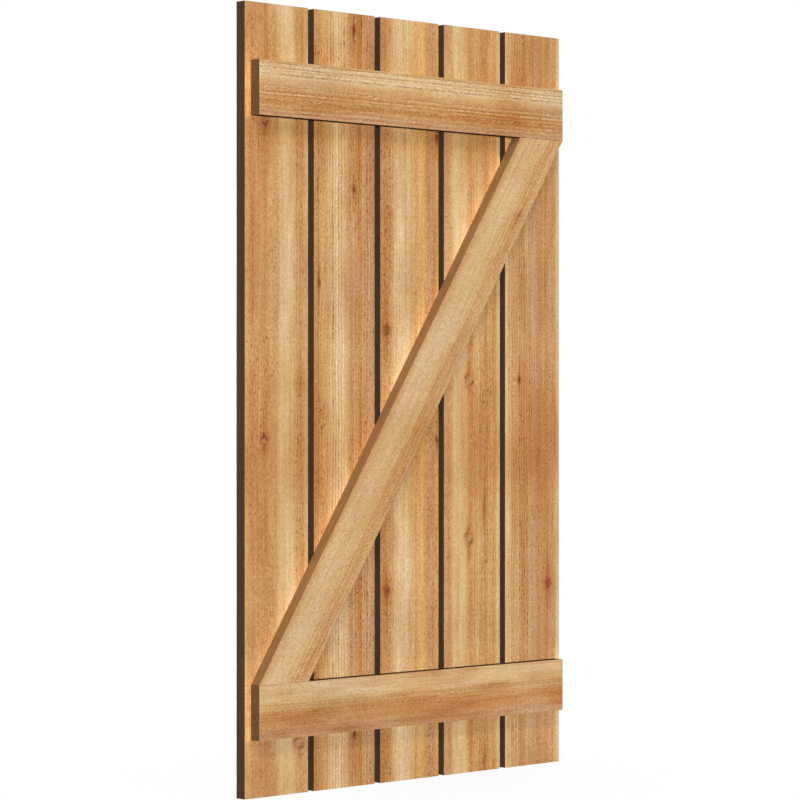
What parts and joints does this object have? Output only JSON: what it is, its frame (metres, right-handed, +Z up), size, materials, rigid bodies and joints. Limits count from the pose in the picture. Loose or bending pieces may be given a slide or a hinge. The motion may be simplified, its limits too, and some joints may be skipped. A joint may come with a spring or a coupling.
{
  "type": "board and batten shutter",
  "caption": "Window shutter of spaced upright rough-sawn cedar boards, tied by level battens and a diagonal brace; its flat back fastens to the wall beside a window.",
  "frame": {"origin": "middle of the back face of the boards, half way up, on the plane of the wall", "axes": "+Z up along the boards, +X across the shutter to the right as seen from the front, +Y from the front towards the wall"},
  "size_m": [0.7332, 0.0412, 1.27],
  "materials": {
    "cedar_boards": "rough-sawn, unfinished",
    "cedar_battens": "rough-sawn, unfinished",
    "cedar_brace": "rough-sawn, unfinished",
    "screws": "dull coated steel"
  },
  "bodies": {
    "root": {"board_1": "cedar_boards", "board_2": "cedar_boards", "board_3": "cedar_boards", "board_4": "cedar_boards", "board_5": "cedar_boards", "top_batten": "cedar_battens", "bottom_batten": "cedar_battens", "diagonal_brace": "cedar_brace"}
  },
  "joints": []
}
